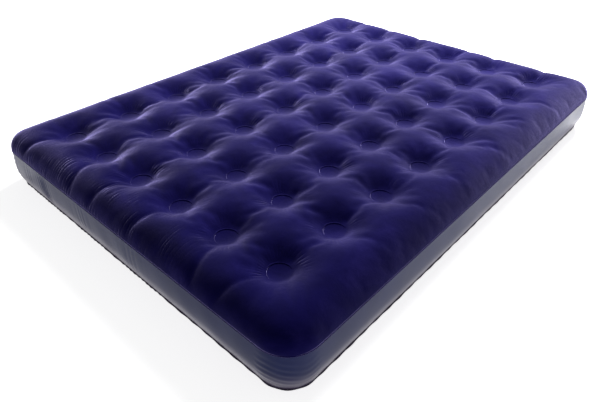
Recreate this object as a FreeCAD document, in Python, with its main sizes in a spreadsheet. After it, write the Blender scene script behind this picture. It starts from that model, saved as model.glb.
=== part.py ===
import FreeCAD, Part
import math
import os
import re
import Sketcher
from FreeCAD import Placement, Rotation, Vector

# A coil-beam air mattress, blown up and lying flat.
# Frame: +X across the width, +Y along the length towards the valve end, +Z up.
# Origin: centre of the underside.  Every length is in millimetres.

doc = FreeCAD.newDocument("AirMattress")
sheet = doc.addObject("Spreadsheet::Sheet", "Dimensions")

DRIVING = [
    # the blown-up envelope
    ("mattress_width", 1520),
    ("mattress_length", 2030),
    ("mattress_height", 220),
    ("corner_radius", 98),
    ("roll_radius", 60),
    ("lap_height", 10),
    ("film", 1.5),
    # the foot of the side wall, where it is welded to the underside
    ("foot_inset", 14),
    ("foot_rise", 60),
    ("flange_width", 7),
    # the grid of weld dimples, 6 across and 8 along
    ("pitch_across", 216),
    ("pitch_along", 235),
    ("count_across", 6),
    ("count_along", 8),
    ("disc_radius", 39),
    ("top_dimple_depth", 35),
    ("top_mouth_radius", 84),
    ("base_dimple_depth", 18),
    ("base_mouth_radius", 67),
    # the waisted coil between each pair of dimples
    ("coil_end_radius", 38),
    ("coil_waist_radius", 30),
    ("vent_radius", 5),
    ("vent_count", 4),
    # the valve in the head end wall
    ("valve_offset", -480),
    ("valve_height", 98),
    ("wall_hole_radius", 26.5),
    ("base_flange_radius", 38),
    ("base_boss_radius", 26),
    ("base_bore_radius", 20.5),
    ("base_depth", 14),
    ("base_proud", 5),
    ("thread_pitch", 4),
    ("thread_turns", 2),
    ("thread_width", 1.6),
    ("thread_height", 1.2),
    ("insert_shank_radius", 19),
    ("insert_shank_inner", 17),
    ("shank_depth", 12),
    ("seat_depth", 6),
    ("grip_radius", 25),
    ("grip_thickness", 3),
    ("grip_notch_radius", 2),
    ("grip_notch_count", 14),
    ("washer_inner", 21.5),
    ("washer_outer", 24.5),
    ("washer_thickness", 1),
    ("port_radius", 9.5),
    ("tube_outer", 12),
    ("neck_radius", 14),
    ("neck_proud", 15),
    ("bead_height", 0.6),
    ("strap_thickness", 1.5),
    ("strap_ring_outer", 17),
    ("strap_reach", 19),
    ("strap_width", 10),
    ("cap_inner", 15),
    ("cap_wall", 2),
    ("cap_top", 1.5),
    ("cap_tab_reach", 23),
    ("cap_hinge_reach", 19.5),
    ("flap_radius", 11.8),
    ("flap_thickness", 1),
    ("flap_hinge_reach", 13),
    ("flap_tongue_width", 8),
    ("running_gap", 0.3),
]

ALIASES = []
for row, (alias, value) in enumerate(DRIVING, start=1):
    sheet.set("A%d" % row, alias)
    sheet.set("B%d" % row, str(value))
    sheet.setAlias("B%d" % row, alias)
    ALIASES.append(alias)
doc.recompute()

ALIAS_PATTERN = re.compile(r"\b(" + "|".join(ALIASES) + r")\b")


def bound(text):
    """Turn a formula in the sheet's words into a document expression."""
    return ALIAS_PATTERN.sub(r"Dimensions.\1", text)


def cell(alias):
    """The number in one cell."""
    return float(getattr(sheet, alias))


def bind(thing, prop, text):
    """Bind a property to a formula of the sheet's cells."""
    thing.setExpression(prop, bound(text))


def evaluate(text):
    """The value of a formula of the sheet's cells, for a sketch's first guess."""
    return float(sheet.evalExpression(bound(text)))


def make_body(name):
    """An empty body with its own label."""
    body = doc.addObject("PartDesign::Body", name)
    body.Label = name
    return body


def origin_feature(body, role):
    """One of the body's own origin planes or axes."""
    for feature in body.Origin.OriginFeatures:
        if feature.Role == role:
            return feature
    raise ValueError(role)


def sketch_on(body, name, role, lift="0", shift="0"):
    """A sketch on an origin plane, lifted along its normal and shifted along its x."""
    sketch = body.newObject("Sketcher::SketchObject", name)
    sketch.AttachmentSupport = [(origin_feature(body, role), "")]
    sketch.MapMode = "FlatFace"
    bind(sketch, "AttachmentOffset.Base.z", "1 mm * (" + lift + ")")
    bind(sketch, "AttachmentOffset.Base.x", "1 mm * (" + shift + ")")
    return sketch


def pin_point(sketch, geometry, end, x_text, y_text):
    """Fix one point of a sketch at two formulas."""
    if x_text == "0":
        sketch.addConstraint(Sketcher.Constraint("PointOnObject", geometry, end, -2))
    else:
        index = sketch.addConstraint(
            Sketcher.Constraint("DistanceX", -1, 1, geometry, end, evaluate(x_text)))
        bind(sketch, "Constraints[%d]" % index, "1 mm * (" + x_text + ")")
    if y_text == "0":
        sketch.addConstraint(Sketcher.Constraint("PointOnObject", geometry, end, -1))
    else:
        index = sketch.addConstraint(
            Sketcher.Constraint("DistanceY", -1, 1, geometry, end, evaluate(y_text)))
        bind(sketch, "Constraints[%d]" % index, "1 mm * (" + y_text + ")")


def polygon(sketch, points):
    """A closed run of lines through points given as pairs of formulas."""
    places = [Vector(evaluate(x), evaluate(y), 0) for x, y in points]
    count = len(points)
    first = sketch.GeometryCount
    for k in range(count):
        sketch.addGeometry(Part.LineSegment(places[k], places[(k + 1) % count]), False)
    for k in range(count):
        following = first + (k + 1) % count
        sketch.addConstraint(Sketcher.Constraint("Coincident", first + k, 2, following, 1))
        pin_point(sketch, first + k, 1, points[k][0], points[k][1])


def circle(sketch, x_text, y_text, radius_text):
    """A circle at a point, all three sizes bound."""
    centre = Vector(evaluate(x_text), evaluate(y_text), 0)
    index = sketch.addGeometry(Part.Circle(centre, Vector(0, 0, 1), evaluate(radius_text)), False)
    pin_point(sketch, index, 3, x_text, y_text)
    size = sketch.addConstraint(Sketcher.Constraint("Radius", index, evaluate(radius_text)))
    bind(sketch, "Constraints[%d]" % size, "1 mm * (" + radius_text + ")")


def rounded_outline(sketch, half_x, half_y, radius):
    """A rectangle round the origin with four round corners."""
    hx = evaluate(half_x)
    hy = evaluate(half_y)
    r = evaluate(radius)
    up = Vector(0, 0, 1)
    corners = [(hx - r, hy - r, 0), (r - hx, hy - r, 1), (r - hx, r - hy, 2), (hx - r, r - hy, 3)]
    signs = [("", ""), ("-", ""), ("-", "-"), ("", "-")]
    for cx, cy, quarter in corners:
        start = quarter * math.pi / 2
        round_corner = Part.Circle(Vector(cx, cy, 0), up, r)
        sketch.addGeometry(Part.ArcOfCircle(round_corner, start, start + math.pi / 2), False)
    for k in range(4):
        end_of_arc = sketch.getPoint(k, 2)
        start_of_next = sketch.getPoint((k + 1) % 4, 1)
        sketch.addGeometry(Part.LineSegment(end_of_arc, start_of_next), False)
    for k in range(4):
        sketch.addConstraint(Sketcher.Constraint("Tangent", k, 2, 4 + k, 1))
        sketch.addConstraint(Sketcher.Constraint("Tangent", 4 + k, 2, (k + 1) % 4, 1))
    size = sketch.addConstraint(Sketcher.Constraint("Radius", 0, r))
    bind(sketch, "Constraints[%d]" % size, "1 mm * (" + radius + ")")
    for k in range(4):
        x_text = "%s((%s) - (%s))" % (signs[k][0], half_x, radius)
        y_text = "%s((%s) - (%s))" % (signs[k][1], half_y, radius)
        if k == 0:
            pin_point(sketch, k, 3, x_text, y_text)
        if k == 2:
            pin_point(sketch, k, 3, x_text, y_text)


def pad(body, name, sketch, length):
    """A straight pad along the sketch's normal."""
    feature = body.newObject("PartDesign::Pad", name)
    feature.Profile = sketch
    bind(feature, "Length", "1 mm * (" + length + ")")
    return feature


def revolve(body, name, sketch, kind="PartDesign::Revolution"):
    """A full turn about the sketch's vertical axis."""
    feature = body.newObject(kind, name)
    feature.Profile = sketch
    feature.ReferenceAxis = (sketch, ["V_Axis"])
    feature.Angle = 360
    return feature


def grid_pattern(body, name, original):
    """Repeat one feature over the grid of dimples."""
    grid = body.newObject("PartDesign::MultiTransform", name)
    grid.Originals = [original]
    steps = []
    for role, pitch, count in (
            ("X_Axis", "pitch_across", "count_across"),
            ("Y_Axis", "pitch_along", "count_along")):
        step = body.newObject("PartDesign::LinearPattern", name + role[0])
        step.Direction = (origin_feature(body, role), [""])
        bind(step, "Length", "1 mm * (%s * (%s - 1))" % (pitch, count))
        bind(step, "Occurrences", count)
        steps.append(step)
    grid.Transformations = steps
    return grid


def edges_at_height(shape, height):
    """Names of the edges that lie wholly at one height."""
    names = []
    for index, edge in enumerate(shape.Edges, start=1):
        box = edge.BoundBox
        if abs(box.ZMin - height) < 0.01 and abs(box.ZMax - height) < 0.01:
            names.append("Edge%d" % index)
    return names


FIRST_COLUMN = "(0 - pitch_across * (count_across - 1) / 2)"
FIRST_ROW = "(0 - pitch_along * (count_along - 1) / 2)"


def dimple_arc_radius(depth, mouth):
    """Radius of the arc that leaves the flat face level and comes down to the disc."""
    run = "(%s - disc_radius)" % mouth
    return "((%s * %s + %s * %s) / (2 * %s))" % (run, run, depth, depth, depth)


def dimple_sketch(body, name, face_height, upward, depth, mouth, wall, lid_gap):
    """Half section of one dimple: disc, round shoulder, and a lid past the face.

    wall is how far this surface lies behind the film's outer side.
    """
    sketch = sketch_on(body, name, "XZ_Plane", "0 - " + FIRST_ROW, FIRST_COLUMN)
    sign = "+" if upward else "-"
    other = "-" if upward else "+"
    arc_outer = dimple_arc_radius(depth, mouth)
    arc = "(%s - %s)" % (arc_outer, wall)
    face = "(%s %s %s)" % (face_height, other, wall)
    disc_level = "(%s %s %s %s %s)" % (face_height, other, depth, other, wall)
    centre_level = "(%s %s %s)" % (face_height, other, arc_outer)
    drop = evaluate(centre_level) - evaluate(disc_level)
    reach = math.sqrt(evaluate(arc) ** 2 - drop ** 2)
    disc_edge = evaluate(mouth) - reach
    lid = "(%s %s %s)" % (face, sign, lid_gap)
    normal = Vector(0, 0, 1)
    centre = Vector(evaluate(mouth), evaluate(centre_level), 0)
    at_disc = math.atan2(evaluate(disc_level) - centre.y, disc_edge - centre.x)
    at_face = math.pi / 2 if upward else -math.pi / 2
    if upward:
        span = (at_face, at_disc)
    else:
        at_disc = at_disc % (2 * math.pi)
        span = (at_disc, at_face + 2 * math.pi)
    shoulder = Part.ArcOfCircle(Part.Circle(centre, normal, evaluate(arc)), span[0], span[1])
    points = [
        Vector(disc_edge, evaluate(disc_level), 0),
        Vector(0, evaluate(disc_level), 0),
        Vector(0, evaluate(lid), 0),
        Vector(evaluate(mouth), evaluate(lid), 0),
        Vector(evaluate(mouth), evaluate(face), 0),
    ]
    for k in range(4):
        sketch.addGeometry(Part.LineSegment(points[k], points[k + 1]), False)
    sketch.addGeometry(shoulder, False)
    for k in range(3):
        sketch.addConstraint(Sketcher.Constraint("Coincident", k, 2, k + 1, 1))
    face_end, disc_end = (1, 2) if upward else (2, 1)
    sketch.addConstraint(Sketcher.Constraint("Coincident", 3, 2, 4, face_end))
    sketch.addConstraint(Sketcher.Constraint("Coincident", 0, 1, 4, disc_end))
    sketch.addConstraint(Sketcher.Constraint("Horizontal", 0))
    pin_point(sketch, 1, 1, "0", disc_level)
    pin_point(sketch, 2, 1, "0", lid)
    pin_point(sketch, 3, 1, mouth, lid)
    pin_point(sketch, 4, 3, mouth, centre_level)
    size = sketch.addConstraint(Sketcher.Constraint("Radius", 4, evaluate(arc)))
    bind(sketch, "Constraints[%d]" % size, "1 mm * (" + arc + ")")
    sketch.addConstraint(Sketcher.Constraint("Vertical", 3))
    return sketch


def top_form(name, inset):
    """The flocked upper half as a solid: rolled edges and the grid of dimples."""
    body = make_body(name)
    foot = "(mattress_height - roll_radius - lap_height)"
    outline = sketch_on(body, name + "_outline", "XY_Plane", foot)
    rounded_outline(outline, "mattress_width / 2 - " + inset,
                    "mattress_length / 2 - " + inset, "corner_radius - " + inset)
    block = pad(body, name + "_block", outline, "roll_radius + lap_height - " + inset)
    doc.recompute()
    roll = body.newObject("PartDesign::Fillet", name + "_roll")
    crown = cell("mattress_height") - evaluate(inset)
    roll.Base = (block, edges_at_height(block.Shape, crown))
    bind(roll, "Radius", "1 mm * (roll_radius - " + inset + ")")
    doc.recompute()
    sketch = dimple_sketch(body, name + "_dimple", "mattress_height", True,
                           "top_dimple_depth", "top_mouth_radius", inset, "lap_height")
    dimple = revolve(body, name + "_groove", sketch, "PartDesign::Groove")
    doc.recompute()
    body.Tip = grid_pattern(body, name + "_grid", dimple)
    return body


def make_top_sheet():
    """Flocked sheet: the outer form less the same form one film inside it."""
    outer = top_form("top_form_outer", "0")
    inner = top_form("top_form_inner", "film")
    doc.recompute()
    top_sheet = doc.addObject("Part::Cut", "top_sheet")
    top_sheet.Base = outer
    top_sheet.Tool = inner
    top_sheet.Label = "top_sheet"
    return top_sheet


SEAM_HEIGHT = "(mattress_height - roll_radius - lap_height)"
WALL_HALF_WIDTH = "(mattress_width / 2 - film)"
WALL_HALF_LENGTH = "(mattress_length / 2 - film)"
FLANGE_STEP = "(flange_width - foot_inset)"
SEAT_LEVEL = "(base_proud + washer_thickness)"
GRIP_TOP = "(base_proud + washer_thickness + grip_thickness)"
STRAP_TOP = "(base_proud + washer_thickness + grip_thickness + running_gap + strap_thickness)"
BEAD_FOOT = "(" + STRAP_TOP + " + running_gap)"
CAP_FOOT = "(" + STRAP_TOP + " + 0.5)"


def make_bottom_sheet():
    """Underside film with a shallow dimple up to the foot of every coil."""
    body = make_body("bottom_sheet")
    outline = sketch_on(body, "bottom_outline", "XY_Plane")
    rounded_outline(outline, WALL_HALF_WIDTH + " + " + FLANGE_STEP,
                    WALL_HALF_LENGTH + " + " + FLANGE_STEP,
                    "corner_radius - film + " + FLANGE_STEP)
    pad(body, "bottom_plate", outline, "film")
    bump_sketch = dimple_sketch(body, "bottom_bump", "0", False,
                                "base_dimple_depth", "base_mouth_radius", "film", "film / 2")
    bump = revolve(body, "bottom_bump_solid", bump_sketch)
    doc.recompute()
    body.Tip = grid_pattern(body, "bottom_bumps", bump)
    doc.recompute()
    hollow_sketch = dimple_sketch(body, "bottom_hollow", "0", False,
                                  "base_dimple_depth", "base_mouth_radius", "0", "lap_height")
    hollow = revolve(body, "bottom_hollow_cut", hollow_sketch, "PartDesign::Groove")
    doc.recompute()
    body.Tip = grid_pattern(body, "bottom_hollows", hollow)
    return body


def make_side_wall():
    """Band round the mattress: lap, upright wall, sloping foot and weld flange."""
    body = make_body("side_wall")
    route = sketch_on(body, "wall_route", "XY_Plane")
    rounded_outline(route, WALL_HALF_WIDTH, WALL_HALF_LENGTH, "corner_radius - film")
    section = sketch_on(body, "wall_section", "XZ_Plane")
    foot = WALL_HALF_WIDTH + " - foot_inset"
    lap_top = SEAM_HEIGHT + " + lap_height"
    polygon(section, [
        (WALL_HALF_WIDTH, lap_top),
        (WALL_HALF_WIDTH, "foot_rise"),
        (foot, "2 * film"),
        (foot + " + flange_width", "2 * film"),
        (foot + " + flange_width", "film"),
        (foot + " - film", "film"),
        (WALL_HALF_WIDTH + " - film", "foot_rise"),
        (WALL_HALF_WIDTH + " - film", lap_top),
    ])
    band = body.newObject("PartDesign::AdditivePipe", "wall_band")
    band.Profile = section
    band.Spine = route
    doc.recompute()
    reach = "(4 * foot_inset)"
    hole = sketch_on(body, "valve_hole", "XZ_Plane", reach + " / 2 - " + WALL_HALF_LENGTH)
    circle(hole, "valve_offset", "valve_height", "wall_hole_radius")
    cut = body.newObject("PartDesign::Pocket", "valve_hole_cut")
    cut.Profile = hole
    bind(cut, "Length", "1 mm * " + reach)
    body.Tip = cut
    return body


def coil_section_points():
    """Half section of one waisted sleeve with a weld disc at each end."""
    foot = "0"
    top = "(mattress_height - top_dimple_depth - base_dimple_depth - 2 * film)"
    middle = "(" + top + " / 2)"
    return [
        ("0", foot),
        ("coil_end_radius", foot),
        ("coil_waist_radius", middle),
        ("coil_end_radius", top),
        ("0", top),
        ("0", top + " - film"),
        ("coil_end_radius - film", top + " - film"),
        ("coil_waist_radius - film", middle),
        ("coil_end_radius - film", "film"),
        ("0", "film"),
    ]


def make_coil(column, row):
    """One internal coil, its end discs welded to the dimples above and below."""
    name = "coil_%d_%d" % (column + 1, row + 1)
    body = make_body(name)
    section = sketch_on(body, name + "_section", "XZ_Plane")
    points = coil_section_points()
    polygon(section, points)
    revolve(body, name + "_sleeve", section)
    doc.recompute()
    vent = sketch_on(body, name + "_vent", "XZ_Plane")
    circle(vent, "0", points[2][1], "vent_radius")
    hole = body.newObject("PartDesign::Pocket", name + "_hole")
    hole.Profile = vent
    bind(hole, "Length", "1 mm * coil_end_radius")
    doc.recompute()
    ring = body.newObject("PartDesign::PolarPattern", name + "_holes")
    ring.Originals = [hole]
    ring.Axis = (origin_feature(body, "Z_Axis"), [""])
    ring.Angle = 360
    bind(ring, "Occurrences", "vent_count")
    body.Tip = ring
    bind(body, "Placement.Base.x", "1 mm * (%s + %d * pitch_across)" % (FIRST_COLUMN, column))
    bind(body, "Placement.Base.y", "1 mm * (%s + %d * pitch_along)" % (FIRST_ROW, row))
    bind(body, "Placement.Base.z", "1 mm * (base_dimple_depth + film)")
    return body


def place_on_wall(body):
    """Stand a valve piece on the head end wall: its own Z points outwards."""
    body.Placement = Placement(Vector(0, 0, 0), Rotation(Vector(1, 0, 0), -90))
    bind(body, "Placement.Base.x", "1 mm * valve_offset")
    bind(body, "Placement.Base.y", "1 mm * " + WALL_HALF_LENGTH)
    bind(body, "Placement.Base.z", "1 mm * valve_height")


def add_thread(body, name, root, crest_sign, start):
    """A helical rib standing crest_sign inwards or outwards from a round wall."""
    section = sketch_on(body, name + "_section", "XZ_Plane")
    inside = "(%s %s running_gap)" % (root, "+" if crest_sign == "-" else "-")
    crest = "(%s %s thread_height)" % (root, crest_sign)
    polygon(section, [
        (inside, start + " - thread_width / 2"),
        (crest, start + " - thread_width / 4"),
        (crest, start + " + thread_width / 4"),
        (inside, start + " + thread_width / 2"),
    ])
    rib = body.newObject("PartDesign::AdditiveHelix", name)
    rib.Profile = section
    rib.ReferenceAxis = (section, ["V_Axis"])
    rib.Mode = 0
    bind(rib, "Pitch", "1 mm * thread_pitch")
    bind(rib, "Height", "1 mm * thread_pitch * thread_turns")
    return rib


def make_valve_base():
    """Soft flange welded to the wall, with a threaded boss through it."""
    body = make_body("valve_base")
    section = sketch_on(body, "base_section", "XZ_Plane")
    polygon(section, [
        ("base_bore_radius", "0 - base_depth"),
        ("base_boss_radius", "0 - base_depth"),
        ("base_boss_radius", "0"),
        ("base_flange_radius", "0"),
        ("base_flange_radius", "film"),
        ("base_boss_radius + 2", "film"),
        ("base_boss_radius", "base_proud"),
        ("base_bore_radius", "base_proud"),
    ])
    revolve(body, "base_turned", section)
    doc.recompute()
    body.Tip = add_thread(body, "base_thread", "base_bore_radius", "-",
                          "(0 - base_depth + thread_pitch * 3 / 4)")
    place_on_wall(body)
    return body


def make_valve_insert():
    """Threaded insert: hanging skirt, pump port, grip flange and neck."""
    body = make_body("valve_insert")
    section = sketch_on(body, "insert_section", "XZ_Plane")
    bead = "neck_radius + bead_height"
    polygon(section, [
        ("port_radius", "0 - seat_depth"),
        ("tube_outer", "0 - seat_depth"),
        ("tube_outer", SEAT_LEVEL),
        ("insert_shank_inner", SEAT_LEVEL),
        ("insert_shank_inner", "0 - shank_depth"),
        ("insert_shank_radius", "0 - shank_depth"),
        ("insert_shank_radius", SEAT_LEVEL),
        ("grip_radius", SEAT_LEVEL),
        ("grip_radius", GRIP_TOP),
        ("neck_radius", GRIP_TOP),
        ("neck_radius", BEAD_FOOT),
        (bead, BEAD_FOOT),
        (bead, BEAD_FOOT + " + 1"),
        ("neck_radius", BEAD_FOOT + " + 1"),
        ("neck_radius", "neck_proud"),
        ("port_radius", "neck_proud"),
    ])
    revolve(body, "insert_turned", section)
    doc.recompute()
    body.Tip = add_thread(body, "insert_thread", "insert_shank_radius", "+",
                          "(0 - base_depth + thread_pitch * 5 / 4)")
    doc.recompute()
    rim = sketch_on(body, "grip_notch_sketch", "XY_Plane", GRIP_TOP)
    circle(rim, "grip_radius", "0", "grip_notch_radius")
    notch = body.newObject("PartDesign::Pocket", "grip_notch")
    notch.Profile = rim
    bind(notch, "Length", "1 mm * grip_thickness")
    doc.recompute()
    notches = body.newObject("PartDesign::PolarPattern", "grip_notches")
    notches.Originals = [notch]
    notches.Axis = (origin_feature(body, "Z_Axis"), [""])
    notches.Angle = 360
    bind(notches, "Occurrences", "grip_notch_count")
    body.Tip = notches
    place_on_wall(body)
    return body


def make_valve_washer():
    """Flat sealing washer pinched between the grip flange and the boss."""
    body = make_body("valve_washer")
    section = sketch_on(body, "washer_section", "XZ_Plane")
    polygon(section, [
        ("washer_inner", "base_proud"),
        ("washer_outer", "base_proud"),
        ("washer_outer", SEAT_LEVEL),
        ("washer_inner", SEAT_LEVEL),
    ])
    revolve(body, "washer_turned", section)
    place_on_wall(body)
    return body


def add_block(body, name, x_low, x_high, half_width, z_low, z_high):
    """A rectangular block of one body, centred across the local Y axis."""
    plan = sketch_on(body, name + "_plan", "XY_Plane", z_low)
    polygon(plan, [
        (x_low, "0 - (%s)" % half_width),
        (x_high, "0 - (%s)" % half_width),
        (x_high, half_width),
        (x_low, half_width),
    ])
    return pad(body, name, plan, "(%s) - (%s)" % (z_high, z_low))


def make_cap_strap():
    """Ring that sits loose round the neck, with the arm that carries the cap."""
    body = make_body("cap_strap")
    section = sketch_on(body, "strap_section", "XZ_Plane")
    foot = GRIP_TOP + " + running_gap"
    polygon(section, [
        ("neck_radius + running_gap", foot),
        ("strap_ring_outer", foot),
        ("strap_ring_outer", STRAP_TOP),
        ("neck_radius + running_gap", STRAP_TOP),
    ])
    revolve(body, "strap_ring", section)
    doc.recompute()
    body.Tip = add_block(body, "strap_arm", "strap_ring_outer - 1", "strap_reach",
                         "strap_width / 2", foot, STRAP_TOP)
    place_on_wall(body)
    return body


def make_valve_cap():
    """Over-cap that closes the pump port, with a hinge lug and a finger tab."""
    body = make_body("valve_cap")
    section = sketch_on(body, "cap_section", "XZ_Plane")
    roof = "neck_proud + running_gap"
    outer = "cap_inner + cap_wall"
    polygon(section, [
        ("0", roof),
        ("cap_inner", roof),
        ("cap_inner", CAP_FOOT),
        (outer, CAP_FOOT),
        (outer, roof + " + cap_top"),
        ("0", roof + " + cap_top"),
    ])
    revolve(body, "cap_turned", section)
    doc.recompute()
    tab_top = CAP_FOOT + " + cap_top"
    add_block(body, "cap_lug", "cap_inner + 1", "cap_hinge_reach", "strap_width / 2",
              CAP_FOOT, tab_top)
    doc.recompute()
    body.Tip = add_block(body, "cap_tab", "0 - cap_tab_reach", "0 - (cap_inner + 1)",
                         "strap_width / 2", CAP_FOOT, tab_top)
    place_on_wall(body)
    return body


def make_check_flap():
    """Soft disc with a hinge tongue that shuts against the port from inside."""
    body = make_body("check_flap")
    top = "0 - seat_depth - running_gap"
    foot = "0 - seat_depth - running_gap - flap_thickness"
    plan = sketch_on(body, "flap_disc_plan", "XY_Plane", foot)
    circle(plan, "0", "0", "flap_radius")
    pad(body, "flap_disc", plan, "flap_thickness")
    doc.recompute()
    body.Tip = add_block(body, "flap_tongue", "port_radius - 1", "flap_hinge_reach",
                         "flap_tongue_width / 2", foot, top)
    place_on_wall(body)
    return body


def build_pieces():
    """Every separate piece of the mattress, in order."""
    pieces = [make_top_sheet(), make_side_wall(), make_bottom_sheet()]
    for column in range(int(cell("count_across"))):
        for row in range(int(cell("count_along"))):
            pieces.append(make_coil(column, row))
    pieces.append(make_valve_base())
    pieces.append(make_valve_insert())
    pieces.append(make_valve_washer())
    pieces.append(make_cap_strap())
    pieces.append(make_valve_cap())
    pieces.append(make_check_flap())
    return pieces


def check_document(pieces):
    """Stop if any object failed, or any piece has no sound solid."""
    for thing in doc.Objects:
        if "Invalid" in thing.State or "Error" in thing.State:
            raise RuntimeError("failed object: " + thing.Name)
    for piece in pieces:
        shape = piece.Shape
        if shape.isNull() or not shape.isValid() or len(shape.Solids) != 1:
            raise RuntimeError("bad shape: " + piece.Label)


def write_pieces(pieces):
    """One STEP file for each piece, named after it."""
    os.makedirs("parts", exist_ok=True)
    for piece in pieces:
        piece.Shape.exportStep("parts/" + piece.Label + ".step")


pieces = build_pieces()
doc.recompute()
check_document(pieces)
write_pieces(pieces)
for piece in pieces:
    box = piece.Shape.BoundBox
    print("%-14s %10.0f mm3  %8.1f %8.1f %7.1f to %8.1f %8.1f %7.1f" % (
        piece.Label, piece.Shape.Volume, box.XMin, box.YMin, box.ZMin,
        box.XMax, box.YMax, box.ZMax))
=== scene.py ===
import math

import bpy
import numpy as np
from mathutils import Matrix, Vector


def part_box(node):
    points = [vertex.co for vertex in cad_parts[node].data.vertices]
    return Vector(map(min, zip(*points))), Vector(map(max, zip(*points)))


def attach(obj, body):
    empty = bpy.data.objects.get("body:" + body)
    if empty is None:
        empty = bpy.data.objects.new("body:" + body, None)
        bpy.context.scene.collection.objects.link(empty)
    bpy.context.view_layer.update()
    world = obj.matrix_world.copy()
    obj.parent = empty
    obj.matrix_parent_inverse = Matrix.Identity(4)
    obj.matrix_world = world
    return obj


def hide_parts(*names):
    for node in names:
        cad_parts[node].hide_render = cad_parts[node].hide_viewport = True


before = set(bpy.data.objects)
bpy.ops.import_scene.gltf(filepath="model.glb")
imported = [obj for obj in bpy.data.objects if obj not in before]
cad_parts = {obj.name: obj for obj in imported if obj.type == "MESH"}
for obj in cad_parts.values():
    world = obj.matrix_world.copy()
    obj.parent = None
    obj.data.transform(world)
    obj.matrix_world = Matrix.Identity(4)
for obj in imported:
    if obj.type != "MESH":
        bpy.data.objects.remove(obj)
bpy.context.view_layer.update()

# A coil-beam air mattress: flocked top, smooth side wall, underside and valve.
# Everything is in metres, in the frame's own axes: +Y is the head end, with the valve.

# ---------------------------------------------------------------- driving sizes, in metres
TOP_LOW, TOP_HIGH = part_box("top_sheet")
WALL_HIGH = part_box("side_wall")[1]
VALVE_LOW, VALVE_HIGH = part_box("valve_base")

WIDTH = TOP_HIGH[0] - TOP_LOW[0]
LENGTH = TOP_HIGH[1] - TOP_LOW[1]
SEAM_Z = TOP_LOW[2]
WIDE_CORNER = 0.108        # the foot's right corner and the head's left one
TIGHT_CORNER = 0.083       # the other two, pulled into more of a point
FILM = 0.0015

COILS = sorted(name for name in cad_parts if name.startswith("coil_"))


def coil_centre(name):
    """Where one coil stands, from its CAD box."""
    low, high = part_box(name)
    return 0.5 * (low[0] + high[0]), 0.5 * (low[1] + high[1])


COIL_SPOTS = np.array([coil_centre(name) for name in COILS])
COLUMNS = np.unique(np.round(COIL_SPOTS[:, 0], 4))
ROWS = np.unique(np.round(COIL_SPOTS[:, 1], 4))
PITCH_X = COLUMNS[1] - COLUMNS[0]
PITCH_Y = ROWS[1] - ROWS[0]
COIL_LOW, COIL_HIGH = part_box(COILS[0])
DISC_RADIUS = 0.5 * (COIL_HIGH[0] - COIL_LOW[0]) + 0.001
DISC_TOP_Z = COIL_HIGH[2] + FILM
DISC_FOOT_Z = COIL_LOW[2] - FILM
MATTRESS = "mattress"


# ---------------------------------------------------------------- small numeric helpers
def smooth(t):
    """Smooth step from 0 to 1."""
    t = np.clip(t, 0.0, 1.0)
    return t * t * (3.0 - 2.0 * t)


def drift(x, y, seed, wavelength):
    """A smooth random field between about -1 and 1."""
    chance = np.random.default_rng(seed)
    total = np.zeros_like(x)
    for _ in range(14):
        turn, phase = chance.uniform(0, 2 * math.pi, 2)
        rate = 2 * math.pi / (wavelength * chance.uniform(0.6, 1.7))
        total += np.sin(rate * (x * math.cos(turn) + y * math.sin(turn)) + phase)
    return total / math.sqrt(14)


def from_disc(x, y):
    """Each point's offset from the nearest weld disc's centre."""
    across = np.clip(np.round((x - COLUMNS[0]) / PITCH_X), 0, len(COLUMNS) - 1)
    along = np.clip(np.round((y - ROWS[0]) / PITCH_Y), 0, len(ROWS) - 1)
    return x - COLUMNS[0] - across * PITCH_X, y - ROWS[0] - along * PITCH_Y


def nearest_disc(x, y):
    """Distance from each point to the nearest weld disc's centre."""
    return np.hypot(*from_disc(x, y))


def grid_faces(count_x, count_y, offset=0, flip=False):
    """Quads of a grid of count_x by count_y points."""
    index = np.arange(count_x * count_y).reshape(count_x, count_y) + offset
    quads = [index[:-1, :-1], index[1:, :-1], index[1:, 1:], index[:-1, 1:]]
    if flip:
        quads.reverse()
    return np.stack(quads, axis=-1).reshape(-1, 4)


def make_object(name, points, faces):
    """A mesh object, smooth shaded, from points and faces."""
    mesh = bpy.data.meshes.new(name)
    mesh.from_pydata(np.asarray(points, float).tolist(), [], [list(map(int, f)) for f in faces])
    mesh.validate()
    mesh.polygons.foreach_set("use_smooth", np.ones(len(mesh.polygons), bool))
    mesh.update()
    obj = bpy.data.objects.new(name, mesh)
    bpy.context.scene.collection.objects.link(obj)
    return obj


def points_of(obj):
    """An evaluated object's vertices as an array."""
    mesh = obj.evaluated_get(bpy.context.evaluated_depsgraph_get()).data
    flat = np.empty(len(mesh.vertices) * 3, np.float32)
    mesh.vertices.foreach_get("co", flat)
    return flat.reshape(-1, 3).astype(float)


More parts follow.
